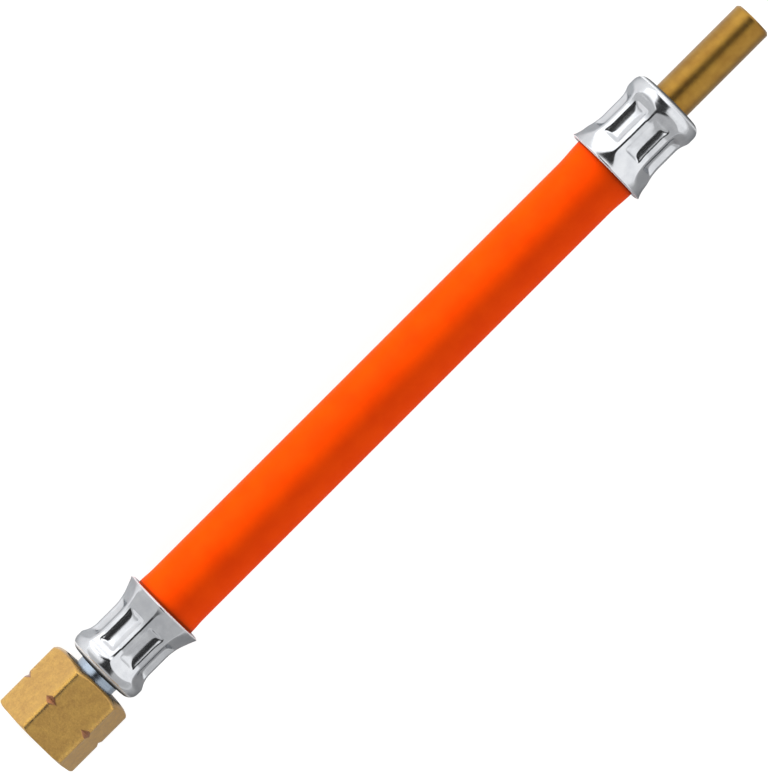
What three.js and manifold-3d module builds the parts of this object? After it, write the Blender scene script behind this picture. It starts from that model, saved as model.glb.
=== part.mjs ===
// Flexible gas hose: a union nut that swivels on a steel nipple, an orange rubber hose crimped at both
// ends in fluted ferrules, and a brass stub pipe. Millimetres, +Z up. The hose lies along X on the
// surface z = 0, with the nut at -X, and the origin is under the middle of its length.

import * as THREE from "three";
import { mergeVertices } from "three/addons/utils/BufferGeometryUtils.js";
import Module from "manifold-3d";

const wasm = await Module();
wasm.setup();

// Clearances
const seatGap = 0.3; // between two pieces that touch
const swivelGap = 0.3; // between the nut and the nipple that it turns on
const slipGap = 0.1; // of a ferrule's hole over the barbs that pass through it
const cupSlack = 0.5; // of an uncrimped ferrule round the hose

// Hose
const hoseBore = 6.3;
const hoseWall = 3.5;
const exposedHose = 116; // between the mouths of the two ferrules
const swellHeightAtNut = 0.15; // of the rubber pushed out of the crimp
const swellLengthAtNut = 3.5;
const swellHeightAtStub = 0.3;
const swellLengthAtStub = 6;

// Ferrule, a drawn cup with a flared mouth
const sheet = 0.6;
const ferruleLength = 17.3;
const cornerRadius = 2; // outside, round the closed end
const flareLength = 2.8;
const flareRise = 0.8;

// Crimp, pressed by flat jaws that each carry a narrow bar
const fluteCount = 8;
const squeezeAtNut = 0.635; // share of the hose's wall left under the flutes
const squeezeAtStub = 0.725;
const flutesFromClosedEnd = 5.8; // to the flat middle of the flutes
const flutesFromMouth = 6.8;
const jawRadiusClosedEnd = 4.8; // of the jaw's rounded ends
const jawRadiusMouth = 9;
const slotFromClosedEnd = 4.6; // to the slots' floor
const slotFromMouth = 4.9;
const slotFloorWidth = 0.8;
const slotDepth = 0.7; // below the flutes
const slotSideSlope = 28; // degrees, of the walls along a slot
const slotEndSlope = 45;
const slotCornerCut = 0.15; // off the floor's corners
const barReach = 0.7; // of the bar's leaning walls above the flutes
const ridgeTurnNutEnd = 14.5; // degrees from +Z towards +Y
const ridgeTurnStubEnd = 18.5;

// Barbed tail, the same on both fittings
const tailWall = 0.9; // at the root of the barbs
const barbHeight = 0.45;
const barbCount = 4;
const firstBarb = 3.6; // from the ferrule's closed end
const leadIn = 3.9; // from the last barb's crest to the tip
const tipDrop = 0.35; // of the tip below the root
const tailReach = 2.7; // past the ferrule's mouth
const shankPastSheet = 1.6;

// Union nut, threaded G 1/4 left-hand and bored to the thread's minor diameter
const nutAcross = 17; // flats
const nutLength = 15.5;
const turnedOver = 0.1; // of the turned outline over the bar's corners
const threadMajor = 13.157;
const threadPitch = 1.337;
const backWall = 3; // holds the nipple's head
const nutCatch = 0.67; // how far that wall reaches in behind the head
const mouthSinkOver = 0.15; // of the countersink over the thread
const mouthFaceOver = 0.5; // of the mouth's flat ring over the flats
const mouthChamferAngle = 30; // degrees
const domeLength = 1.5; // of the rounded back end
const backFaceReach = 2.65; // of the flat ring round the hole in the back
const holeChamfer = 0.3;
const notchFromMouth = 7.8;
const notchDepth = 0.67; // below the corners
const notchHalfAngle = 50; // degrees

// Swivel nipple
const neckShown = 1.7; // between the nut and the ferrule
const collarLength = 2.4;
const ballStep = 0.5; // of the ball nose inside the collar
const noseLand = 0.9; // flat ring round the gas way

// Stub pipe
const pipeDiameter = 8;
const pipeLength = 21.7;
const pipeChamfer = 0.4;

// Facets, fewer on the faces that the ferrules hide
const shown = { sides: 40, arcSteps: 4, jawSteps: 7, slotCorner: slotCornerCut };
const hidden = { sides: 24, arcSteps: 2, jawSteps: 4, slotCorner: 0 };
const fittingSides = 24;
const cutPast = 1; // how far a cut runs past the face that it opens

// Derived sizes
const hoseRadius = hoseBore / 2 + hoseWall;
const cupRadius = hoseRadius + cupSlack + sheet;
const flareRadius = (flareLength ** 2 + flareRise ** 2) / (2 * flareRise);
const rootRadius = hoseBore / 2;
const gasWayRadius = rootRadius - tailWall;
const crestRadius = rootRadius + barbHeight;
const tipRadius = rootRadius - tipDrop;
const ferruleHoleRadius = crestRadius + slipGap;
const shankRadius = ferruleHoleRadius - seatGap;
const shankEnd = sheet + shankPastSheet;
const tailLength = ferruleLength + tailReach;
const barbPitch = (tailLength - leadIn - firstBarb) / (barbCount - 1);
const flatAtNut = crestRadius + squeezeAtNut * hoseWall + sheet; // from the axis to a flute's floor
const flatAtStub = crestRadius + squeezeAtStub * hoseWall + sheet;
const threadHeight = 0.640327 * threadPitch; // by the Whitworth form
const threadMinorRadius = threadMajor / 2 - threadHeight;
const headRadius = threadMinorRadius - swivelGap;
const nutHoleRadius = headRadius - nutCatch;
const neckRadius = nutHoleRadius - swivelGap;
const pipeRadius = pipeDiameter / 2;

// Places along the axis, from the nut's mouth
const nutFerruleFace = nutLength + neckShown;
const nutFerruleMouth = nutFerruleFace + ferruleLength;
const stubFerruleMouth = nutFerruleMouth + exposedHose;
const stubFerruleFace = stubFerruleMouth + ferruleLength;
const overallLength = stubFerruleFace + pipeLength;
const axisHeight = Math.max(cupRadius + flareRise, nutAcross / 2);

// A closed three.js geometry as a solid that can be joined and cut
function solidOf(geometry) {
  geometry.deleteAttribute("normal");
  geometry.deleteAttribute("uv");
  const merged = mergeVertices(geometry);
  const corners = Array.from(merged.index.array);
  const triVerts = [];
  for (let i = 0; i < corners.length; i += 3) {
    const [a, b, c] = corners.slice(i, i + 3);
    if (a !== b && b !== c && c !== a) triVerts.push(a, b, c);
  }
  return new wasm.Manifold(
    new wasm.Mesh({
      numProp: 3,
      vertProperties: merged.attributes.position.array,
      triVerts: Uint32Array.from(triVerts),
    }),
  );
}

// A profile of [along, radius] points revolved round the X axis, read from -X to +X on the outside
function turned(profile, sides) {
  const points = profile.map(([along, radius]) => new THREE.Vector2(radius, along));
  return solidOf(new THREE.LatheGeometry(points, sides).rotateZ(-Math.PI / 2));
}

// Points of an arc in the profile plane, with angles in degrees from +along towards +radius
function arcPoints(alongCentre, radiusCentre, arcRadius, from, to, steps = shown.arcSteps) {
  const points = [];
  for (let k = 0; k <= steps; k++) {
    const angle = THREE.MathUtils.degToRad(from + ((to - from) * k) / steps);
    points.push([
      alongCentre + arcRadius * Math.cos(angle),
      radiusCentre + arcRadius * Math.sin(angle),
    ]);
  }
  return points;
}

// The ferrule before crimping, inset by a wall, with its closed end at 0 and its mouth at +X
function cupProfile(inset, pastMouth, { arcSteps }) {
  const flareStart = ferruleLength - flareLength;
  const sweep = THREE.MathUtils.radToDeg(Math.asin(flareLength / (flareRadius + inset)));
  const flareCentre = cupRadius + flareRadius;
  const flare = arcPoints(flareStart, flareCentre, flareRadius + inset, 270, 270 + sweep, arcSteps);
  const cornerCentre = cupRadius - cornerRadius;
  const corner = arcPoints(cornerRadius, cornerCentre, cornerRadius - inset, 180, 90, arcSteps);
  const mouth = ferruleLength + pastMouth;
  const rim = flare.at(-1)[1] + pastMouth;
  return [[inset, 0], ...corner, ...flare, [mouth, rim], [mouth, 0]];
}

// One jaw's working face, inset by a wall: flat over the flutes' middle and rounded at both ends
function jaw(flat, inset, turn, { jawSteps }) {
  const flutesEnd = ferruleLength - flutesFromMouth;
  const left = jawRadiusClosedEnd;
  const right = jawRadiusMouth;
  const quarter = Math.PI / 2;
  const shape = new THREE.Shape();
  shape.absarc(flutesFromClosedEnd, flat + left, left + inset, 2 * quarter, 3 * quarter);
  shape.absarc(flutesEnd, flat + right, right + inset, 3 * quarter, 4 * quarter);
  const width = 4 * cupRadius;
  const geometry = new THREE.ExtrudeGeometry(shape, {
    depth: width,
    bevelEnabled: false,
    curveSegments: jawSteps,
  });
  return solidOf(geometry.translate(0, 0, -width / 2).rotateX(quarter + turn));
}

// The bar on a jaw, inset by a wall: its bevel makes the slot's leaning walls, and the scale makes
// those along its sides flatter than those at its ends
function jawBar(flat, inset, turn, { slotCorner: cut }) {
  const sideSlope = THREE.MathUtils.degToRad(slotSideSlope);
  const endSlope = THREE.MathUtils.degToRad(slotEndSlope);
  const height = slotDepth + barReach;
  const flatter = Math.tan(endSlope) / Math.tan(sideSlope);
  const growEnd = inset * Math.tan(endSlope / 2);
  const growSide = inset * Math.tan(sideSlope / 2);
  const x0 = slotFromClosedEnd - growEnd;
  const x1 = ferruleLength - slotFromMouth + growEnd;
  const y1 = (slotFloorWidth / 2 + growSide) / flatter;
  const outline = [
    [x0 + cut, -y1],
    [x1 - cut, -y1],
    [x1, cut - y1],
    [x1, y1 - cut],
    [x1 - cut, y1],
    [x0 + cut, y1],
    [x0, y1 - cut],
    [x0, cut - y1],
  ];
  const corners = outline.filter((point, k) => cut > 0 || k % 2 === 0);
  const shape = new THREE.Shape(corners.map(([x, y]) => new THREE.Vector2(x, y)));
  const geometry = new THREE.ExtrudeGeometry(shape, {
    depth: cupRadius,
    bevelThickness: height,
    bevelSize: height / Math.tan(endSlope),
    bevelSegments: 1,
  });
  return solidOf(geometry.scale(1, flatter, 1).translate(0, 0, flat + barReach - inset).rotateX(turn));
}

// The crimped ferrule's outline, inset by a wall, with a ridge towards +Z
function crimpedForm(flat, inset, pastMouth, facets) {
  let form = turned(cupProfile(inset, pastMouth, facets), facets.sides);
  for (let k = 0; k < fluteCount; k++) {
    const turn = ((k + 0.5) * 2 * Math.PI) / fluteCount;
    form = form.subtract(jaw(flat, inset, turn, facets));
    form = form.subtract(jawBar(flat, inset, turn, facets));
  }
  return form;
}

function ferrule(flat) {
  const hole = turned(
    [
      [-cutPast, 0],
      [-cutPast, ferruleHoleRadius],
      [sheet + cutPast, ferruleHoleRadius],
      [sheet + cutPast, 0],
    ],
    fittingSides,
  );
  const cavity = crimpedForm(flat, sheet, cutPast, hidden);
  return crimpedForm(flat, 0, 0, shown).subtract(cavity).subtract(hole);
}

// The barbed tail's outline from the ferrule's closed end to its tip, grown by a gap
function tailProfile(gap, endRadius) {
  const points = [
    [shankEnd + gap, shankRadius + gap],
    [shankEnd + gap, rootRadius + gap],
  ];
  for (let k = 0; k < barbCount; k++) {
    const crest = firstBarb + k * barbPitch - gap;
    points.push([crest, rootRadius + gap], [crest, crestRadius + gap]);
  }
  points.push([tailLength + gap, endRadius]);
  return points;
}

// A turned fitting: its own outline, then the shank and barbed tail, with the gas way through it
function fitting(outline) {
  const endAt = outline[0][0];
  return turned(
    [
      ...outline,
      [-seatGap, shankRadius],
      ...tailProfile(0, tipRadius),
      [tailLength, gasWayRadius],
      [endAt, gasWayRadius],
      outline[0],
    ],
    fittingSides,
  );
}

function swivelNipple() {
  const headBack = -neckShown - backWall - swivelGap;
  const collarFront = headBack - collarLength;
  const ballRadius = headRadius - ballStep;
  const noseRadius = gasWayRadius + noseLand;
  const noseAngle = 180 - THREE.MathUtils.radToDeg(Math.asin(noseRadius / ballRadius));
  return fitting([
    ...arcPoints(collarFront, 0, ballRadius, noseAngle, 90),
    [collarFront, headRadius],
    [headBack, headRadius],
    [headBack, neckRadius],
    [-seatGap, neckRadius],
  ]);
}

function stubPipe() {
  return fitting([
    [-pipeLength, pipeRadius - pipeChamfer],
    [-pipeLength + pipeChamfer, pipeRadius],
    [-seatGap, pipeRadius],
  ]);
}

function unionNut() {
  const cornerDistance = nutAcross / 2 / Math.cos(Math.PI / 6);
  const blankRadius = cornerDistance + turnedOver;
  const faceRadius = nutAcross / 2 + mouthFaceOver;
  const backFaceRadius = nutHoleRadius + backFaceReach;
  const chamferAngle = THREE.MathUtils.degToRad(mouthChamferAngle);
  const chamferLength = (blankRadius - faceRadius) * Math.tan(chamferAngle);
  const dome = arcPoints(0, 0, 1, 90, 0).map(([along, radius]) => [
    nutLength - domeLength * (1 - along),
    backFaceRadius + (blankRadius - backFaceRadius) * radius,
  ]);
  const bar = new THREE.CylinderGeometry(cornerDistance, cornerDistance, nutLength, 6);
  const hexBar = solidOf(bar.rotateZ(-Math.PI / 2).rotateX(Math.PI / 6).translate(nutLength / 2, 0, 0));
  const blank = turned(
    [[0, 0], [0, faceRadius], [chamferLength, blankRadius], ...dome, [nutLength, 0]],
    shown.sides,
  );
  return hexBar.intersect(blank).subtract(notchRing(cornerDistance)).subtract(nutSocket());
}

// The V groove that notches the nut's corners
function notchRing(cornerDistance) {
  const halfAngle = THREE.MathUtils.degToRad(notchHalfAngle);
  const halfWidth = (notchDepth + cutPast) * Math.tan(halfAngle);
  return turned(
    [
      [notchFromMouth - halfWidth, cornerDistance + cutPast],
      [notchFromMouth + halfWidth, cornerDistance + cutPast],
      [notchFromMouth, cornerDistance - notchDepth],
      [notchFromMouth - halfWidth, cornerDistance + cutPast],
    ],
    shown.sides,
  );
}

// The threaded socket and the hole for the nipple's neck
function nutSocket() {
  const sinkRadius = threadMajor / 2 + mouthSinkOver;
  const socketEnd = nutLength - backWall;
  return turned(
    [
      [-cutPast, 0],
      [-cutPast, sinkRadius + cutPast],
      [sinkRadius - threadMinorRadius, threadMinorRadius],
      [socketEnd, threadMinorRadius],
      [socketEnd, nutHoleRadius],
      [nutLength - holeChamfer, nutHoleRadius],
      [nutLength + cutPast, nutHoleRadius + holeChamfer + cutPast],
      [nutLength + cutPast, 0],
    ],
    shown.sides,
  );
}

// How far the rubber swells beside a mouth, from the mouth outwards
function swellPoints(height, length) {
  const points = [];
  for (let k = 0; k <= shown.arcSteps; k++) {
    const share = k / shown.arcSteps;
    const rise = (height * (1 + Math.cos(Math.PI * share))) / 2;
    points.push([length * share, hoseRadius + rise]);
  }
  return points;
}

// The hose, from the nut's mouth: a tube that fills what each crimp leaves and closes round each tail
function hose() {
  const inset = sheet + seatGap;
  const start = nutFerruleFace + inset;
  const end = stubFerruleFace - inset;
  const besideNut = swellPoints(swellHeightAtNut, swellLengthAtNut);
  const besideStub = swellPoints(swellHeightAtStub, swellLengthAtStub).reverse();
  const tube = turned(
    [
      [start, 0],
      [start, hoseRadius + swellHeightAtNut],
      ...besideNut.map(([out, radius]) => [nutFerruleMouth + out, radius]),
      ...besideStub.map(([out, radius]) => [stubFerruleMouth - out, radius]),
      [end, hoseRadius + swellHeightAtStub],
      [end, 0],
    ],
    shown.sides,
  );
  const betweenMouths = turned(
    [
      [nutFerruleMouth, 0],
      [nutFerruleMouth, 2 * cupRadius],
      [stubFerruleMouth, 2 * cupRadius],
      [stubFerruleMouth, 0],
    ],
    hidden.sides,
  );
  const inNutFerrule = placed(crimpedForm(flatAtNut, inset, cutPast, hidden), toNutEnd);
  const inStubFerrule = placed(crimpedForm(flatAtStub, inset, cutPast, hidden), toStubEnd);
  const room = inNutFerrule.add(betweenMouths).add(inStubFerrule);
  return tube.intersect(room).subtract(hoseHollow());
}

// The hose's bore, opened round the two barbed tails
function hoseHollow() {
  const tail = tailProfile(seatGap, hoseBore / 2);
  const shank = shankRadius + seatGap;
  return turned(
    [
      [nutFerruleFace - cutPast, 0],
      [nutFerruleFace - cutPast, shank],
      ...tail.map(([along, radius]) => [nutFerruleFace + along, radius]),
      ...tail.map(([along, radius]) => [stubFerruleFace - along, radius]).reverse(),
      [stubFerruleFace + cutPast, shank],
      [stubFerruleFace + cutPast, 0],
    ],
    fittingSides,
  );
}

// Each end's frame has its origin in the ferrule's closed face and +X towards the hose
function endFrame(along, towardsNut, turnDegrees) {
  const turn = THREE.MathUtils.degToRad(turnDegrees);
  const frame = new THREE.Matrix4().makeTranslation(along, 0, 0);
  if (towardsNut) frame.multiply(new THREE.Matrix4().makeRotationZ(Math.PI));
  return frame.multiply(new THREE.Matrix4().makeRotationX(turn));
}

function geometryOf(solid) {
  const { vertProperties, triVerts } = solid.getMesh();
  const geometry = new THREE.BufferGeometry();
  geometry.setAttribute("position", new THREE.BufferAttribute(vertProperties, 3));
  geometry.setIndex(new THREE.BufferAttribute(triVerts, 1));
  return geometry;
}

function placed(solid, frame) {
  return solidOf(geometryOf(solid).applyMatrix4(frame));
}

function meshOf(name, solid, material, frame) {
  const geometry = geometryOf(solid);
  geometry.computeVertexNormals();
  const mesh = new THREE.Mesh(geometry, material);
  mesh.name = name;
  mesh.applyMatrix4(frame);
  return mesh;
}

function finish(color, metalness, roughness) {
  return new THREE.MeshStandardMaterial({ color, metalness, roughness, flatShading: true });
}

const atMouth = new THREE.Matrix4();
const toNutEnd = endFrame(nutFerruleFace, false, -ridgeTurnNutEnd);
const toStubEnd = endFrame(stubFerruleFace, true, ridgeTurnStubEnd);

const assembly = new THREE.Group();
assembly.position.set(-overallLength / 2, 0, axisHeight);
assembly.add(
  meshOf("union_nut", unionNut(), finish(0xc09a55, 1, 0.6), atMouth),
  meshOf("swivel_nipple", swivelNipple(), finish(0xb9c0c8, 1, 0.3), toNutEnd),
  meshOf("ferrule_nut_end", ferrule(flatAtNut), finish(0xd2d6da, 1, 0.2), toNutEnd),
  meshOf("hose", hose(), finish(0xf04a06, 0, 0.5), atMouth),
  meshOf("ferrule_stub_end", ferrule(flatAtStub), finish(0xd2d6da, 1, 0.2), toStubEnd),
  meshOf("stub_pipe", stubPipe(), finish(0xc59d52, 1, 0.35), toStubEnd),
);

const gasHose = new THREE.Group();
gasHose.add(assembly);

export default gasHose;
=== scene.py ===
import bpy
import numpy as np
from math import asin, cos, pi, radians, sin, tan
from mathutils import Matrix, Vector


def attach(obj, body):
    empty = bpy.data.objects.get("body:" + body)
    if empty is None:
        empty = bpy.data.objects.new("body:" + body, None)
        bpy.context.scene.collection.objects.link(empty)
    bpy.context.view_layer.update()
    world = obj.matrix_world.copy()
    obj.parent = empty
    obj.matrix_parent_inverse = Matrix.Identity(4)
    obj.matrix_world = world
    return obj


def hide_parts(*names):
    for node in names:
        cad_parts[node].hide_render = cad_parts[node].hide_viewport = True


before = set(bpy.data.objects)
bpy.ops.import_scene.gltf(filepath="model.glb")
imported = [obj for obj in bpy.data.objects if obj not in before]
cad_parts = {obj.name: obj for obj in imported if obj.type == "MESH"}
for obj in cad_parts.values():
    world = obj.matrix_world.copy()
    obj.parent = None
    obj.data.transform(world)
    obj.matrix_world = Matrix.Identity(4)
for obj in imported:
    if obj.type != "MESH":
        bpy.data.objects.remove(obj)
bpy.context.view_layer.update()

# Flexible gas hose, laid straight along X on the floor. Lengths below are in mm.
# An angle round the hose runs from +Z towards +Y.
axisHeight = 8.55
nutMouth = -94.75  # places along X
nutFerruleFace = -77.55
nutFerruleMouth = -60.25
stubFerruleMouth = 55.75
stubFerruleFace = 73.05


def addNode(tree, kind, settings=None, links=None):
    # A number or the name of a socket sets that socket, any other name sets the node
    node = tree.nodes.new(kind)
    for name, value in (settings or {}).items():
        if isinstance(name, int) or name in node.inputs:
            node.inputs[name].default_value = value
        else:
            setattr(node, name, value)
    for name, source in (links or {}).items():
        tree.links.new(source, node.inputs[name])
    return node


def linearColour(hexCode):
    channels = [int(hexCode[i:i + 2], 16) / 255 for i in (1, 3, 5)]
    linear = [c / 12.92 if c <= 0.04045 else ((c + 0.055) / 1.055) ** 2.4 for c in channels]
    return (*linear, 1)


def newMaterial(name):
    material = bpy.data.materials.new(name)
    material.use_nodes = True
    tree = material.node_tree
    return material, tree, tree.nodes["Principled BSDF"]


# Camera: looks down on the hose, which rises to the right across the picture
cameraSetup = {
    "lens": 375,
    "sensor": 36,
    "frameHeight": 144.4,  # of the picture at the hose's axis
    "aimX": -2.5,
    "aimAcross": 0.2,
    "lean": 12.5,  # degrees from straight above towards +Y
    "rise": 44.98,  # degrees of the hose's axis in the picture
}


def makeCamera(setup):
    lean, rise = radians(setup["lean"]), radians(setup["rise"])
    along = Vector((1, 0, 0))
    across = Vector((0, cos(lean), -sin(lean)))
    back = Vector((0, sin(lean), cos(lean)))
    right = along * cos(rise) - across * sin(rise)
    up = along * sin(rise) + across * cos(rise)
    distance = setup["frameHeight"] * setup["lens"] / setup["sensor"]
    aim = Vector((setup["aimX"], 0, axisHeight)) + across * setup["aimAcross"]
    place = (aim + back * distance) / 1000
    data = bpy.data.cameras.new("studioCamera")
    data.lens = setup["lens"]
    data.sensor_width = setup["sensor"]
    data.clip_start = 0.01
    camera = bpy.data.objects.new("studioCamera", data)
    camera.matrix_world = Matrix.Translation(place) @ Matrix((right, up, back)).transposed().to_4x4()
    bpy.context.scene.collection.objects.link(camera)
    bpy.context.scene.camera = camera


makeCamera(cameraSetup)
print("camera done")


def smoothMin(a, b, blend):
    overlap = np.maximum(blend - np.abs(a - b), 0) / blend
    return np.minimum(a, b) - overlap ** 2 * blend / 4


def smoothStep(low, high, value):
    share = np.clip((value - low) / (high - low), 0, 1)
    return share * share * (3 - 2 * share)


def softStep(value, softness):
    # Nothing below zero, the value above it, with a soft bend between
    return (value + np.sqrt(value ** 2 + softness ** 2)) / 2


def arc(centreX, centreRadius, radius, start, end, steps):
    # Points [x, radius] of an arc, angles in degrees from +X towards the outside
    angles = np.radians(np.linspace(start, end, steps + 1))
    return [[centreX + radius * cos(a), centreRadius + radius * sin(a)] for a in angles]


def ringPiece(name, x, radius, angle, material, body, node, attributes=None):
    # A closed skin of rings round the hose's axis. x, radius and angle are arrays of rings by sides.
    x, radius, angle = np.broadcast_arrays(x, radius, angle)
    points = np.stack([x, radius * np.sin(angle), axisHeight + radius * np.cos(angle)], -1) / 1000
    rings, sides = x.shape
    here = np.arange(rings * sides).reshape(rings, sides)
    onward = np.roll(here, -1, 0)
    beside = np.roll(here, -1, 1)
    across = np.roll(onward, -1, 1)
    quads = np.stack([here, onward, across, beside], -1).reshape(-1, 4)
    mesh = bpy.data.meshes.new(name)
    mesh.from_pydata(points.reshape(-1, 3).tolist(), [], quads.tolist())
    # Attributes mark places for the material
    for label, values in (attributes or {}).items():
        layer = mesh.attributes.new(label, "FLOAT", "POINT")
        layer.data.foreach_set("value", np.broadcast_to(values, x.shape).astype(np.float32).ravel())
    mesh.materials.append(material)
    mesh.shade_smooth()
    piece = bpy.data.objects.new(name, mesh)
    bpy.context.scene.collection.objects.link(piece)
    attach(piece, body)
    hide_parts(node)
    print(name, len(quads), "faces")
    return piece


# Crimped ferrule: a drawn cup of sheet steel, pressed in by eight jaws that each carry a narrow bar
ferrule = {
    "length": 17.3,
    "cup": 7.88,
    "sheet": 0.6,
    "hole": 3.7,
    "corner": 2,
    "flareLength": 2.8,
    "flareRise": 0.67,
    "flutes": 8,
    "flutesFrom": 6.2,  # the flutes' flat middle, from the closed end
    "flutesTo": 10.5,
    "jawRoundClosed": 5.4,
    "jawRoundMouth": 12,
    "ridgeSoftness": 0.35,
    "rimSoftness": 0.25,  # where a flute meets the cup
    "slotFrom": 5.4,  # its floor
    "slotTo": 12.1,
    "slotDepth": 0.66,
    "slotSlope": 0.65,  # of its side walls
    "slotRounding": 1.5,  # of its bottom
    "slotLip": 1.58,  # where its walls get steeper, from its middle
    "slotLipSlope": 0.35,
    "slotLipRounding": 0.2,
    "slotEndSlope": 1.0,
    "slotEndRounding": 0.4,
    "slotSoftness": 0.12,
    "holeEdge": 0.1,  # rounding
    "faceRings": (4.3, 5),  # radii of the rings on the flat closed end
    "innerRing": 4.6,
    "faceSoftness": 0.02,
    "edgeBulge": ((0.06, 0.03), (0.16, 0.05), (0.84, 0.05), (0.94, 0.03)),  # share of the edge, height
    "closedReach": 1,  # how far the painted shade and the duller, less metallic finish of the closed end fade
    "sides": 416,
}
# edgeBack is how far the mouth's outer edge lies behind the full length
nutCrimp = {"flat": 6.4225, "ridge": 14.5, "edgeBack": 0.5}
stubCrimp = {"flat": 6.7375, "ridge": 18.5, "edgeBack": 0.12}


def flareForm(crimp, sizes):
    # Where the flare starts and the radius of its arc
    flareFrom = sizes["length"] - crimp["edgeBack"] - sizes["flareLength"]
    return flareFrom, (sizes["flareLength"] ** 2 + sizes["flareRise"] ** 2) / (2 * sizes["flareRise"])


def crimpedRadius(along, angle, crimp, sizes):
    # The outer radius at a place along, counted from the ferrule's closed end
    flareFrom, flareRadius = flareForm(crimp, sizes)
    intoFlare = np.clip(along - flareFrom, 0, sizes["flareLength"])
    cup = sizes["cup"] + flareRadius - np.sqrt(flareRadius ** 2 - intoFlare ** 2)
    pitch = 2 * pi / sizes["flutes"]
    local = np.mod(angle - radians(crimp["ridge"]), pitch) - pitch / 2
    towardsClosed = np.clip(sizes["flutesFrom"] - along, 0, sizes["jawRoundClosed"])
    towardsMouth = np.clip(along - sizes["flutesTo"], 0, sizes["jawRoundMouth"])
    roundClosed = sizes["jawRoundClosed"] - np.sqrt(sizes["jawRoundClosed"] ** 2 - towardsClosed ** 2)
    roundMouth = sizes["jawRoundMouth"] - np.sqrt(sizes["jawRoundMouth"] ** 2 - towardsMouth ** 2)
    floor = crimp["flat"] + roundClosed + roundMouth
    flute = smoothMin(floor / np.cos(local), floor / np.cos(pitch - np.abs(local)), sizes["ridgeSoftness"])
    radius = smoothMin(cup, flute, sizes["rimSoftness"])
    # The slot: its floor rises towards its sides and its ends
    sideways = np.abs(radius * np.sin(local))
    rounding = sizes["slotRounding"]
    sideRise = sizes["slotSlope"] * (np.sqrt(sideways ** 2 + rounding ** 2) - rounding)
    lip = softStep(sideways - sizes["slotLip"], sizes["slotLipRounding"])
    sideRise = sideRise + sizes["slotLipSlope"] * lip
    past = np.maximum(sizes["slotFrom"] - along, along - sizes["slotTo"])
    endRise = sizes["slotEndSlope"] * softStep(past, sizes["slotEndRounding"])
    rise = (np.maximum(sideRise, 0) ** 3 + endRise ** 3) ** (1 / 3)
    slotFloor = crimp["flat"] - sizes["slotDepth"] + rise
    return smoothMin(radius, slotFloor / np.cos(local), sizes["slotSoftness"])


def makeFerrule(name, node, crimp, sizes, material, face, direction):
    # direction is 1 where the mouth looks to +X, -1 where it looks to -X
    sheet, hole, corner, cup = sizes["sheet"], sizes["hole"], sizes["corner"], sizes["cup"]
    angle = np.linspace(0, 2 * pi, sizes["sides"], endpoint=False)[None, :]
    flareFrom, flareRadius = flareForm(crimp, sizes)
    flareEnd = sizes["length"] - crimp["edgeBack"]
    free = 99  # no limit to the radius but the crimp
    # Outside, from the hole to the mouth: [place along, widest radius there]
    outer = [[0, hole + sizes["holeEdge"]]] + [[0, r] for r in sizes["faceRings"]]
    outer += arc(corner, cup - corner, corner, 180, 90, 12)
    outer += [[a, free] for a in np.linspace(corner, flareFrom, 92)[1:]]
    outer += [[a, free] for a in np.linspace(flareFrom, flareEnd, 18)[1:]]
    outer = np.array(outer)
    crimped = crimpedRadius(outer[:, :1], angle, crimp, sizes)
    outside = smoothMin(crimped, outer[:, 1:] + 0 * angle, sizes["faceSoftness"])
    # Inside, from the mouth back to the hole, with the sheet's edge square to the flare:
    # [place along, widest radius, depth below the outside, place on the outside]
    flareBack = np.linspace(flareEnd, flareFrom, 12)
    slope = np.arcsin((flareBack - flareFrom) / flareRadius)
    inner = [[a + sheet * sin(t), free, sheet * cos(t), a] for a, t in zip(flareBack, slope)]
    inner += [[a, free, sheet, a] for a in np.linspace(flareFrom, corner, 60)[1:]]
    inner += [[a, r, sheet, a] for a, r in arc(corner, cup - corner, corner - sheet, 90, 180, 6)[1:]]
    inner += [[sheet, sizes["innerRing"], sheet, sheet], [sheet, hole, sheet, sheet]]
    inner = np.array(inner)
    inside = crimpedRadius(inner[:, 3:], angle, crimp, sizes) - inner[:, 2:3]
    inside = np.minimum(inside, inner[:, 1:2])
    # The edge itself, with its two corners rounded
    edgeX, edgeRadius = [], []
    for share, bulge in sizes["edgeBulge"]:
        edgeX.append(outer[-1, 0] * (1 - share) + inner[0, 0] * share + bulge * cos(slope[0]))
        edgeRadius.append(outside[-1] * (1 - share) + inside[0] * share + bulge * sin(slope[0]))
    along = np.concatenate([outer[:, :1], np.array(edgeX)[:, None], inner[:, :1], [[sizes["holeEdge"]]]])
    radius = np.concatenate([outside, np.array(edgeRadius), inside, np.full(angle.shape, hole)])
    x = face + direction * along
    # The closed end, for its painted shade and its duller finish
    closed = 1 - smoothStep(0, sizes["closedReach"], along + 0 * angle)
    rim = 0 * closed
    rim[len(outer) + 1:len(outer) + 3] = 1
    if direction < 0:
        x, radius, closed, rim = x[::-1], radius[::-1], closed[::-1], rim[::-1]
    return ringPiece(name, x, radius, angle, material, "hose_line", node,
                     {"closedEnd": closed, "rim": rim})


# Hose: moulded round the barbed tails, swollen beside the crimps
hoseSizes = {
    "radius": 6.65,
    "bore": 3.15,
    "from": -76.9,
    "to": 72.4,
    "swellAtNut": 0.15,
    "swellRunAtNut": 3.5,
    "swellAtStub": 0.3,
    "swellRunAtStub": 6,
    "mouthShadeRun": 0.35,
    "clearance": 0.02,  # to the ferrules, and half of it to the tails
    "squeezeSoftness": 0.4,
    "mouthRun": 8,  # with closer rings beside each mouth
    "sides": 208,
}


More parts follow.
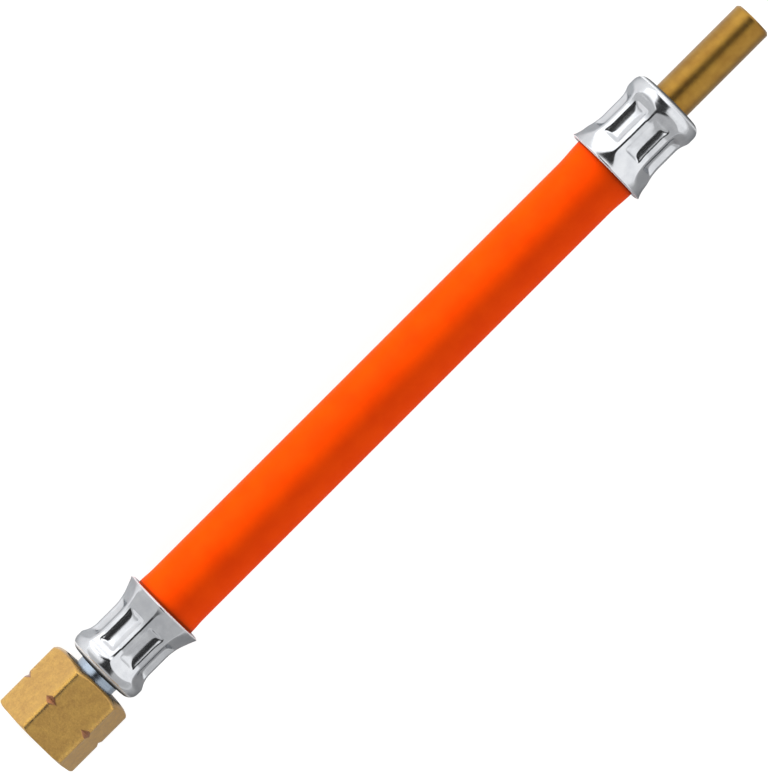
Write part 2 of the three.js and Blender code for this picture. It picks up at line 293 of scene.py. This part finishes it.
def makeHose(sizes, material):
    angle = np.linspace(0, 2 * pi, sizes["sides"], endpoint=False)[None, :]
    run = sizes["mouthRun"]
    stations = np.concatenate([
        np.linspace(sizes["from"], nutFerruleMouth, 76)[:-1],
        np.linspace(nutFerruleMouth, nutFerruleMouth + run, 17)[:-1],
        np.linspace(nutFerruleMouth + run, stubFerruleMouth - run, 80)[:-1],
        np.linspace(stubFerruleMouth - run, stubFerruleMouth, 17)[:-1],
        np.linspace(stubFerruleMouth, sizes["to"], 76),
    ])[:, None]
    fromNut = np.clip((stations - nutFerruleMouth) / sizes["swellRunAtNut"], 0, 1)
    fromStub = np.clip((stubFerruleMouth - stations) / sizes["swellRunAtStub"], 0, 1)
    swell = sizes["swellAtNut"] * (1 + np.cos(pi * fromNut)) / 2
    swell = swell + sizes["swellAtStub"] * (1 + np.cos(pi * fromStub)) / 2
    free = sizes["radius"] + swell + 0 * angle
    wall, softness = ferrule["sheet"] + sizes["clearance"], sizes["squeezeSoftness"]
    inNut = crimpedRadius(stations - nutFerruleFace, angle, nutCrimp, ferrule) - wall
    inStub = crimpedRadius(stubFerruleFace - stations, angle, stubCrimp, ferrule) - wall
    radius = np.where(stations < nutFerruleMouth, smoothMin(free, inNut, softness), free)
    radius = np.where(stations > stubFerruleMouth, smoothMin(free, inStub, softness), radius)
    boreX, boreRadius = tailBore(sizes)
    x = np.concatenate([stations, boreX[::-1, None]])
    radius = np.concatenate([radius, boreRadius[::-1, None] + 0 * angle])
    # Painted shade darkens the hose beside the two mouths, under the ferrules' lips
    fromMouth = np.minimum(np.abs(stations - nutFerruleMouth), np.abs(stations - stubFerruleMouth))
    mouthShade = np.concatenate([np.exp(-fromMouth / sizes["mouthShadeRun"]), 0 * boreX[:, None]])
    return ringPiece("orangeHose", x, radius, angle, material, "hose_line", "hose",
                     {"mouthShade": mouthShade})


# Barbed tail, the same on both fittings. It starts at the ferrule's closed face.
tail = {
    "shank": 3.64,
    "shankEnd": 2.2,
    "root": 3.15,
    "crest": 3.6,
    "firstBarb": 3.6,
    "pitch": 4.1667,
    "barbs": 4,
    "bevel": 0.15,  # from the shank down to the root
    "step": 0.02,  # half the length of a barb's steep side
    "length": 20,
    "tip": 2.8,
    "gasWay": 2.25,
}


def tailProfile(grow=0.0):
    # [place along, radius] from the shank's end to the last barb
    points = [[tail["shankEnd"], tail["shank"]], [tail["shankEnd"] + tail["bevel"], tail["root"] + grow]]
    for k in range(tail["barbs"]):
        crest = tail["firstBarb"] + k * tail["pitch"]
        points += [[crest - tail["step"], tail["root"] + grow], [crest + tail["step"], tail["crest"] + grow]]
    return points


def tailEnd():
    return [[tail["length"], tail["tip"]], [tail["length"], tail["gasWay"]]]


def tailBore(sizes):
    # The hose's bore, opened round both tails
    gap = sizes["clearance"] / 2
    nutSide = [[nutFerruleFace + a, r] for a, r in tailProfile(gap)]
    stubSide = [[stubFerruleFace - a, r] for a, r in reversed(tailProfile(gap))]
    opened = tail["shank"] + gap
    points = [[sizes["from"], opened], *nutSide, [nutFerruleFace + tail["length"], sizes["bore"]]]
    points += [[stubFerruleFace - tail["length"], sizes["bore"]], *stubSide, [sizes["to"], opened]]
    points = np.array(points)
    return points[:, 0], points[:, 1]


latheSides = 128
sharpFrom = 38  # degrees between two faces


def lathePiece(name, profile, material, node):
    profile = np.array(profile)
    angle = np.linspace(0, 2 * pi, latheSides, endpoint=False)[None, :]
    radius = profile[:, 1:] + 0 * angle
    piece = ringPiece(name, profile[:, :1], radius, angle, material, "hose_line", node)
    piece.data.set_sharp_from_angle(angle=radians(sharpFrom))
    return piece


# Swivel nipple: ball nose, collar, neck, barbed tail
nipple = {
    "neck": 4.45,
    "head": 5.42,
    "headBack": -5.0,  # along, from the ferrule's closed face
    "collar": 2.4,
    "ball": 4.92,
    "nose": 3.15,
    "rounding": 0.2,
    "clearance": 0.02,  # to the ferrule
}


def makeNipple(sizes, material):
    neck, back, rounding, neckEnd = sizes["neck"], sizes["headBack"], sizes["rounding"], -sizes["clearance"]
    front = back - sizes["collar"]
    rim = sizes["head"] - rounding
    noseAngle = 180 - np.degrees(asin(sizes["nose"] / sizes["ball"]))
    profile = arc(front, 0, sizes["ball"], noseAngle, 90, 16)
    profile += arc(front + rounding, rim, rounding, 180, 90, 4)
    profile += arc(back - rounding, rim, rounding, 90, 0, 4)
    profile += [[back, neck + rounding], [back + rounding, neck]]
    profile += [[neckEnd - rounding, neck], [neckEnd, neck - rounding], [neckEnd, tail["shank"]]]
    profile += tailProfile() + tailEnd() + [[profile[0][0], tail["gasWay"]]]
    profile = [[nutFerruleFace + a, r] for a, r in profile]
    return lathePiece("swivelNipple", profile, material, "swivel_nipple")


# Stub pipe: plain end, barbed tail
stub = {
    "radius": 4,
    "length": 21.7,
    "chamfer": 0.4,
    "boreChamfer": 0.25,
    "edge": 0.1,  # beside the ferrule
    "clearance": 0.02,  # to the ferrule
}


def makeStub(sizes, material):
    end, shoulder = -sizes["length"], -sizes["clearance"]
    radius, bore = sizes["radius"], tail["gasWay"]
    chamfer, boreChamfer, edge = sizes["chamfer"], sizes["boreChamfer"], sizes["edge"]
    profile = [[end + boreChamfer, bore], [end, bore + boreChamfer], [end, radius - chamfer]]
    profile += [[end + chamfer, radius], [shoulder - edge, radius], [shoulder, radius - edge]]
    profile += [[shoulder, tail["shank"]]] + tailProfile() + tailEnd()
    profile = [[stubFerruleFace - a, r] for a, r in reversed(profile)]
    return lathePiece("stubPipe", profile, material, "stub_pipe")


# Union nut: hexagonal bar, turned at both ends, with a turned groove that notches its corners
nut = {
    "across": 17,
    "length": 15.5,
    "blank": 9.915,
    "mouthFace": 9.0,
    "mouthChamfer": 0.528,
    "mouthEdge": 0.12,  # rounding
    "dome": 1.9,
    "backFace": 6.8,
    "notchAt": 7.5,
    "notchRoot": 9.145,
    "notchSlope": 0.66,
    "hole": 4.75,
    "back": 3,
    "threadMajor": 6.5785,
    "threadMinor": 5.7225,
    "pitch": 1.337,
    "threadEnd": 11.4,
    "threadRunOut": 1.2,
    "sink": 6.7285,
    "cornerSoftness": 0.75,
    "wearReach": 0.8,  # of the smoother metal beside each corner
    "turnedSoftness": 0.12,
    "notchSoftness": 0.06,
    "stainReach": 0.1,  # of the tarnish outside the notches
    "shadeReach": 0.12,  # of the painted shade on the back, from its flat
    "shadeFrom": 7.6,
    "mouthRings": (7.2, 7.9),  # radii on the flat mouth
    "backRing": 6.0,  # radius on the flat back
    "holeChamfer": 0.3,
    "holeEdge": 0.2,
    "wallRing": 5.2,  # radius on the back wall's inside
    "perFace": 40,  # sides of the mesh
    "threadRings": 118,
}


def makeNut(sizes, material):
    # The mesh's sides crowd towards the six corners
    share = np.sin(np.linspace(-pi / 2, pi / 2, sizes["perFace"], endpoint=False))
    oneFace = np.arctan(share * tan(pi / 6))
    angle = np.concatenate([oneFace + k * pi / 3 for k in range(6)])[None, :]
    local = np.mod(angle - pi / 6, pi / 3) - pi / 6
    flats = sizes["across"] / 2
    oneSide, nextSide = flats / np.cos(local), flats / np.cos(pi / 3 - np.abs(local))
    hexagon = smoothMin(oneSide, nextSide, sizes["cornerSoftness"])
    # Outside, from the mouth's flat ring to the back's: [place along, turned radius]
    slope = (sizes["blank"] - sizes["mouthFace"]) / sizes["mouthChamfer"]
    chamfer = [0, 0.012, 0.04, 0.08, *np.linspace(sizes["mouthEdge"], sizes["mouthChamfer"], 8)]
    domeStart = sizes["length"] - sizes["dome"]
    beside = 1.2  # closer rings on both sides of the notch
    nearMouth, nearBack = sizes["notchAt"] - beside, sizes["notchAt"] + beside
    bar = [*np.linspace(sizes["mouthChamfer"], nearMouth, 14)[1:-1], *np.linspace(nearMouth, nearBack, 41)]
    bar += [*np.linspace(nearBack, domeStart, 12)[1:-1]]
    outline = [[a, sizes["mouthFace"] + a * slope] for a in chamfer] + [[a, sizes["blank"]] for a in bar]
    domeRise = sizes["blank"] - sizes["backFace"]
    for a in np.radians(np.linspace(90, 0, 26)):
        outline.append([domeStart + sizes["dome"] * cos(a), sizes["backFace"] + domeRise * sin(a)])
    outline = np.array(outline)
    along, turned = outline[:, :1], outline[:, 1:]
    groove = sizes["notchRoot"] + np.abs(along - sizes["notchAt"]) * sizes["notchSlope"]
    body = smoothMin(hexagon, turned + 0 * angle, sizes["turnedSoftness"])
    toEdge = np.clip(sizes["mouthEdge"] - along, 0, None)
    body = body - sizes["mouthEdge"] + np.sqrt(sizes["mouthEdge"] ** 2 - toEdge ** 2)
    outside = smoothMin(body, groove + 0 * angle, sizes["notchSoftness"])
    stain = smoothStep(-sizes["stainReach"], 0, body - groove)
    wear = np.exp(-((pi / 6 - np.abs(local)) * flats / sizes["wearReach"]) ** 2) + 0 * along
    # The flat rings at the mouth and round the hole
    hole, length = sizes["hole"], sizes["length"]
    holeChamfer, holeEdge = sizes["holeChamfer"], sizes["holeEdge"]
    mouthRings = np.array([[0, r] for r in sizes["mouthRings"]])
    backRings = [[length, sizes["backFace"]], [length, sizes["backRing"]]]
    backRings = np.array(backRings + [[length, hole + holeChamfer], [length - holeChamfer, hole]])
    # Inside, from the hole to the mouth
    backWall = length - sizes["back"]
    inner = [[backWall + holeEdge, hole], [backWall, hole + holeEdge], [backWall, sizes["wallRing"]]]
    inner = np.array(inner + [[backWall, sizes["threadMinor"]]])
    threadX = np.linspace(backWall - 0.1, 0.02, sizes["threadRings"])[:, None]
    depth = 1 - smoothStep(sizes["threadEnd"] - sizes["threadRunOut"], sizes["threadEnd"], threadX)
    depth = depth * (sizes["threadMajor"] - sizes["threadMinor"])
    phase = threadX / sizes["pitch"] - angle / (2 * pi)  # left-hand
    thread = sizes["threadMinor"] + depth * (0.5 - 0.5 * np.cos(2 * pi * phase))
    thread = np.maximum(thread, sizes["sink"] - threadX)
    along = np.concatenate([mouthRings[:, :1], along, backRings[:, :1], inner[:, :1], threadX])
    flatRings, insideRings = backRings[:, 1:] + 0 * angle, inner[:, 1:] + 0 * angle
    radius = np.concatenate([mouthRings[:, 1:] + 0 * angle, outside, flatRings, insideRings, thread])
    # No marks at the mouth's rings and inside
    before, after = len(mouthRings), len(backRings) + len(inner) + len(threadX)
    stain, wear = (np.pad(mark, ((before, after), (0, 0))) for mark in (stain, wear))
    # Painted shade on the flat back, which faces the ferrule across a narrow gap
    shade = smoothStep(length - sizes["shadeReach"], length, along)
    shade = shade * smoothStep(sizes["shadeFrom"], sizes["backFace"], radius)
    marks = {"stain": stain, "shade": shade, "wear": wear}
    return ringPiece("unionNut", nutMouth + along, radius, angle, material, "nut",
                     "union_nut", marks)


def objectPlace(tree):
    return addNode(tree, "ShaderNodeTexCoord").outputs["Object"]


def noise(tree, place, grainSize, detail=2, roughness=0.5):
    # grainSize in mm, a number or one for each axis
    if not isinstance(grainSize, tuple):
        grainSize = (grainSize,) * 3
    scale = tuple(1000 / size for size in grainSize)
    scaled = addNode(tree, "ShaderNodeMapping", {"Scale": scale}, {"Vector": place})
    settings = {"Scale": 1, "Detail": detail, "Roughness": roughness}
    return addNode(tree, "ShaderNodeTexNoise", settings, {"Vector": scaled.outputs[0]}).outputs["Fac"]


def attribute(tree, name):
    return addNode(tree, "ShaderNodeAttribute", {"attribute_name": name}).outputs["Fac"]


def remap(tree, value, fromLow, fromHigh, toLow=0, toHigh=1):
    settings = {1: fromLow, 2: fromHigh, 3: toLow, 4: toHigh}
    return addNode(tree, "ShaderNodeMapRange", settings, {0: value}).outputs[0]


def blend(tree, share, first, second):
    # first and second are colours in hex or the outputs of nodes
    settings, links = {"data_type": "RGBA"}, {0: share}
    for index, colour in ((6, first), (7, second)):
        if isinstance(colour, str):
            settings[index] = linearColour(colour)
        else:
            links[index] = colour
    return addNode(tree, "ShaderNodeMix", settings, links).outputs[2]


def addShare(tree, first, second, share):
    # first and the given share of second
    settings = {"operation": "MULTIPLY_ADD", 1: share}
    return addNode(tree, "ShaderNodeMath", settings, {0: second, 2: first}).outputs[0]


def bumped(tree, height, strength, depth):
    # depth in mm
    settings = {"Strength": strength, "Distance": depth / 1000}
    return addNode(tree, "ShaderNodeBump", settings, {"Height": height}).outputs[0]


def finishSurface(tree, shader, colour, roughness, normal):
    tree.links.new(colour, shader.inputs["Base Color"])
    tree.links.new(roughness, shader.inputs["Roughness"])
    tree.links.new(normal, shader.inputs["Normal"])


def finishBrass(shader, look):
    shader.inputs["Metallic"].default_value = 1
    shader.inputs["Coat Weight"].default_value = look["bloom"]
    shader.inputs["Coat Roughness"].default_value = look["bloomRoughness"]
    shader.inputs["Coat IOR"].default_value = look["bloomIor"]


# Brass, drawn bar, grit-blasted: matte, grainy, with a pale bloom and brown tarnish in the notches, and
# painted shade on its back
def blastedBrass():
    look = {
        "light": "#d8aa44", "deep": "#b68529", "tarnish": "#92551a", "shade": "#6e5226",
        "grit": 0.4, "patch": 1.6, "roughness": 0.52, "wornRoughness": 0.26,
        "bloom": 1, "bloomRoughness": 0.5, "bloomIor": 1.75, "bump": (0.8, 0.06),
    }
    material, tree, shader = newMaterial("blastedBrass")
    place = objectPlace(tree)
    grit = noise(tree, place, look["grit"], 3, 0.6)
    patch = noise(tree, place, look["patch"], 4, 0.6)
    share = remap(tree, addShare(tree, patch, grit, 1.0), 0.6, 1.35)
    brass = blend(tree, share, look["deep"], look["light"])
    stained = blend(tree, attribute(tree, "stain"), brass, look["tarnish"])
    # Painted shade on the back
    colour = blend(tree, attribute(tree, "shade"), stained, look["shade"])
    grainy = remap(tree, grit, 0.3, 0.7, look["roughness"] - 0.06, look["roughness"] + 0.08)
    rough = addShare(tree, grainy, attribute(tree, "wear"), look["wornRoughness"] - look["roughness"])
    finishBrass(shader, look)
    finishSurface(tree, shader, colour, rough, bumped(tree, grit, *look["bump"]))
    return material


# Brass tube, turned and left bright: satin, with fine rings
def turnedBrass():
    look = {
        "light": "#a97f24", "deep": "#946910", "ring": 0.3, "patch": 3,
        "roughness": 0.34, "bloom": 0.4, "bloomRoughness": 0.4, "bloomIor": 1.75, "bump": (0.2, 0.005),
    }
    material, tree, shader = newMaterial("turnedBrass")
    place = objectPlace(tree)
    ring = noise(tree, place, (look["ring"], 17, 17), 2, 0.5)
    patch = noise(tree, place, look["patch"], 4)
    brass = blend(tree, remap(tree, patch, 0.35, 0.7), look["deep"], look["light"])
    rough = remap(tree, ring, 0.3, 0.7, look["roughness"] - 0.04, look["roughness"] + 0.06)
    finishBrass(shader, look)
    finishSurface(tree, shader, brass, rough, bumped(tree, ring, *look["bump"]))
    return material


# Sheet steel, deep-drawn, crimped and zinc-plated: bright, a little wavy, duller round the closed end, where
# painted shade darkens it
def platedSheet():
    look = {
        "light": "#d2d4d7", "deep": "#c8cace", "closedEnd": "#4d5052", "edge": "#b5b8ba",
        "wave": 2.2, "mark": 0.25, "markLength": 6.7, "markShare": 0.12, "bump": (0.35, 0.04),
        "roughness": 0.15, "closedRoughness": 0.6, "dullMetallic": 0.15,
    }
    material, tree, shader = newMaterial("platedSheetSteel")
    place = objectPlace(tree)
    wave = noise(tree, place, look["wave"])
    mark = noise(tree, place, (look["markLength"], look["mark"], look["mark"]), 3, 0.7)
    zinc = blend(tree, remap(tree, wave, 0.35, 0.65), look["deep"], look["light"])
    closed, rim = attribute(tree, "closedEnd"), attribute(tree, "rim")
    # Painted shade: the closed end, beside the nut, darkens to a dark grey
    colour = blend(tree, remap(tree, closed, 0.35, 0.8), zinc, look["closedEnd"])
    marked = remap(tree, mark, 0.3, 0.7, look["roughness"] - 0.04, look["roughness"] + 0.05)
    duller = look["closedRoughness"] - look["roughness"]
    rough = addShare(tree, addShare(tree, marked, closed, duller), rim, duller)
    closing = remap(tree, closed, 0.03, 0.16)
    dull = addNode(tree, "ShaderNodeMath", {"operation": "MAXIMUM"}, {0: rim, 1: closing})
    tree.links.new(remap(tree, dull.outputs[0], 0, 1, 1, look["dullMetallic"]), shader.inputs["Metallic"])
    shader.inputs["Specular Tint"].default_value = linearColour(look["edge"])
    height = addShare(tree, wave, mark, look["markShare"])
    finishSurface(tree, shader, colour, rough, bumped(tree, height, *look["bump"]))
    return material


# Steel, turned and zinc-plated: bluish and satin
def platedSteel():
    look = {"light": "#b9c6d4", "deep": "#9aa9bb", "ring": 0.3, "roughness": 0.22, "bump": (0.3, 0.02)}
    material, tree, shader = newMaterial("platedTurnedSteel")
    place = objectPlace(tree)
    ring = noise(tree, place, (look["ring"], 17, 17), 3, 0.6)
    zinc = blend(tree, ring, look["deep"], look["light"])
    rough = remap(tree, ring, 0.3, 0.7, look["roughness"] - 0.04, look["roughness"] + 0.06)
    shader.inputs["Metallic"].default_value = 1
    finishSurface(tree, shader, zinc, rough, bumped(tree, ring, *look["bump"]))
    return material


# Rubber, extruded: satin orange, with fine lengthwise lines and a faint cloudiness; painted shade darkens it
# beside the ferrules' mouths
def orangeRubber():
    look = {
        "light": "#e64400", "deep": "#df3e00", "mouthShade": "#702a08",
        "cloud": 6, "line": 0.3, "lineLength": 25, "grain": 0.25, "grainShare": 0.6, "bump": (0.25, 0.02),
        "roughness": 0.5, "gloss": 0.04,
    }
    material, tree, shader = newMaterial("extrudedOrangeRubber")
    place = objectPlace(tree)
    cloud = noise(tree, place, look["cloud"], 3)
    line = noise(tree, place, (look["lineLength"], look["line"], look["line"]))
    grain = noise(tree, place, look["grain"])
    orange = blend(tree, remap(tree, cloud, 0.35, 0.65), look["deep"], look["light"])
    # Painted shade beside the ferrules' mouths
    colour = blend(tree, attribute(tree, "mouthShade"), orange, look["mouthShade"])
    rough = remap(tree, grain, 0.3, 0.7, look["roughness"] - 0.05, look["roughness"] + 0.05)
    shader.inputs["Specular IOR Level"].default_value = look["gloss"]
    height = addShare(tree, line, grain, look["grainShare"])
    finishSurface(tree, shader, colour, rough, bumped(tree, height, *look["bump"]))
    return material


sheetMaterial = platedSheet()
print("materials done")

hose = makeHose(hoseSizes, orangeRubber())
makeNut(nut, blastedBrass())
makeNipple(nipple, platedSteel())
makeFerrule("ferruleAtNut", "ferrule_nut_end", nutCrimp, ferrule, sheetMaterial, nutFerruleFace, 1)
ferruleAtStub = makeFerrule("ferruleAtStub", "ferrule_stub_end", stubCrimp, ferrule, sheetMaterial,
                            stubFerruleFace, -1)
stubPipe = makeStub(stub, turnedBrass())
print("pieces done")

# Studio: a white floor, a pale sky that is dark overhead, a large soft lamp on the +Y side and a weaker
# one on the -Y side. Places and sizes of the studio are in metres.
# Pairs that end in Span say where one value passes into another, as a direction's share along an axis.
studio = {
    "floorSize": 12.0,
    "floorDrop": 0.00005,  # below the hose
    "floorColour": "#b4b4b4",
    "floorGlow": 0.74,  # for the camera only
    "floorReflectedGlow": (0.12, 0.72),  # painted light for reflections only: the floor glows less on the shaded -Y side than on the lit +Y side
    "reflectedGlowEdge": 0.02,  # on both sides of the hose's axis
    "brightSide": (1.3, 1.8),  # towards +Y, leaning to the nut's end and to the stub's
    "greySide": (0.62, 1.25),  # towards -Y, leaning to the nut's end and to the stub's
    "nutSideShade": 0.55,  # of the bright side, far towards the nut's end
    "horizon": 0.8,
    "overhead": 0.04,
    "overheadTilt": 8,  # degrees from straight above towards +Y
    "overheadShift": 0.25,  # of the dark patch towards +Y at the stub's end
    "skySeen": 1.0,  # the sky itself, for the camera only
    "overheadSpanX": (0.66, 0.82),
    "overheadSpanY": (0.28, 0.40),
    "hoseSpan": (-0.06, 0.08),  # from the nut's end to the stub's
    "nutSideSpan": (-0.5, -0.06),
    "horizonSpan": (0.10, 0.22),
    "keySpan": (-0.2, 0.2),  # from the grey side to the bright one
    "key": {"size": (1.2, 0.22), "power": 13.0, "place": (0.0, 0.85, 0.115)},
    "fill": {"size": (1.2, 0.3), "power": 2.4, "place": (0.0, -0.85, 0.16)},
    "lampTarget": (0, 0, 0.01),
}


def makeFloor(setup):
    half = setup["floorSize"] / 2
    mesh = bpy.data.meshes.new("studioFloor")
    corners = [(-half, -half, 0), (half, -half, 0), (half, half, 0), (-half, half, 0)]
    mesh.from_pydata(corners, [], [(0, 1, 2, 3)])
    floor = bpy.data.objects.new("studioFloor", mesh)
    floor.location.z = -setup["floorDrop"]
    bpy.context.scene.collection.objects.link(floor)
    material, tree, shader = newMaterial("paintedFloor")
    shader.inputs["Base Color"].default_value = linearColour(setup["floorColour"])
    shader.inputs["Roughness"].default_value = 0.9
    shader.inputs["Specular IOR Level"].default_value = 0
    ray = addNode(tree, "ShaderNodeLightPath").outputs
    axes = addNode(tree, "ShaderNodeSeparateXYZ", None, {0: objectPlace(tree)}).outputs
    # Painted light seen only in reflections, brighter on the lit +Y side than on the shaded -Y side
    edge, (low, high) = setup["reflectedGlowEdge"], setup["floorReflectedGlow"]
    settings = {"interpolation_type": "SMOOTHSTEP", 1: -edge, 2: edge, 3: low, 4: high}
    reflectedGlow = addNode(tree, "ShaderNodeMapRange", settings, {0: axes["Y"]}).outputs[0]
    mirrored = addNode(tree, "ShaderNodeMath", {"operation": "MULTIPLY"}, {0: ray["Is Glossy Ray"], 1: reflectedGlow})
    glow = addNode(tree, "ShaderNodeMath", {"operation": "MULTIPLY_ADD", 1: setup["floorGlow"]},
                   {0: ray["Is Camera Ray"], 2: mirrored.outputs[0]})
    shader.inputs["Emission Color"].default_value = (1, 1, 1, 1)
    tree.links.new(glow.outputs[0], shader.inputs["Emission Strength"])
    floor.data.materials.append(material)


def makeWorld(setup):
    world = bpy.data.worlds.new("studioWorld")
    bpy.context.scene.world = world
    world.use_nodes = True
    tree = world.node_tree
    direction = addNode(tree, "ShaderNodeTexCoord").outputs["Generated"]
    axes = addNode(tree, "ShaderNodeSeparateXYZ", None, {0: direction}).outputs
    tilt = radians(setup["overheadTilt"])

    def ramp(value, low, high, toLow=0, toHigh=1):
        settings = {"interpolation_type": "SMOOTHSTEP", 1: low, 2: high, 3: toLow, 4: toHigh}
        return addNode(tree, "ShaderNodeMapRange", settings, {0: value}).outputs[0]

    def math(operation, first, second=None, amount=0):
        links = {0: first} if second is None else {0: first, 1: second}
        settings = {"operation": operation} if second is not None else {"operation": operation, 1: amount}
        return addNode(tree, "ShaderNodeMath", settings, links).outputs[0]

    def alongHose(atNut, atStub):
        return ramp(axes["X"], *setup["hoseSpan"], atNut, atStub)

    def mix(share, first, second):
        # first and second are numbers or the outputs of nodes
        settings, links = {"data_type": "FLOAT"}, {0: share}
        for index, value in ((2, first), (3, second)):
            (settings if isinstance(value, (int, float)) else links)[index] = value
        return addNode(tree, "ShaderNodeMix", settings, links).outputs[0]

    # Sideways from the dark patch overhead
    lift = math("MULTIPLY", axes["Z"], amount=sin(tilt))
    side = math("SUBTRACT", math("MULTIPLY", axes["Y"], amount=cos(tilt)), lift)
    shifted = math("SUBTRACT", side, alongHose(0, setup["overheadShift"]))
    clearY = ramp(math("ABSOLUTE", shifted), *setup["overheadSpanY"])
    clearX = ramp(math("ABSOLUTE", axes["X"]), *setup["overheadSpanX"])
    clear = math("MAXIMUM", clearY, clearX)
    bright = alongHose(*setup["brightSide"])
    bright = math("MULTIPLY", bright, ramp(axes["X"], *setup["nutSideSpan"], setup["nutSideShade"], 1))
    low = ramp(axes["Z"], *setup["horizonSpan"])
    greySide = mix(low, setup["horizon"], alongHose(*setup["greySide"]))
    sides = mix(ramp(side, *setup["keySpan"]), greySide, bright)
    strength = mix(clear, setup["overhead"], sides)
    ray = addNode(tree, "ShaderNodeLightPath").outputs["Is Camera Ray"]
    seen = mix(ray, strength, setup["skySeen"])
    tree.links.new(seen, tree.nodes["Background"].inputs["Strength"])
    tree.nodes["Background"].inputs["Color"].default_value = (1, 1, 1, 1)


def makeLamp(name, setup, target):
    data = bpy.data.lights.new(name, "AREA")
    data.shape = "RECTANGLE"
    data.size, data.size_y = setup["size"]
    data.energy = setup["power"]
    lamp = bpy.data.objects.new(name, data)
    lamp.location = setup["place"]
    lamp.rotation_euler = (Vector(target) - Vector(setup["place"])).to_track_quat("-Z", "Y").to_euler()
    lamp.visible_glossy = False
    bpy.context.scene.collection.objects.link(lamp)


makeFloor(studio)
makeWorld(studio)
makeLamp("keySoftbox", studio["key"], studio["lampTarget"])
makeLamp("fillSoftbox", studio["fill"], studio["lampTarget"])
bpy.context.scene.view_settings.view_transform = "Standard"
print("studio done")
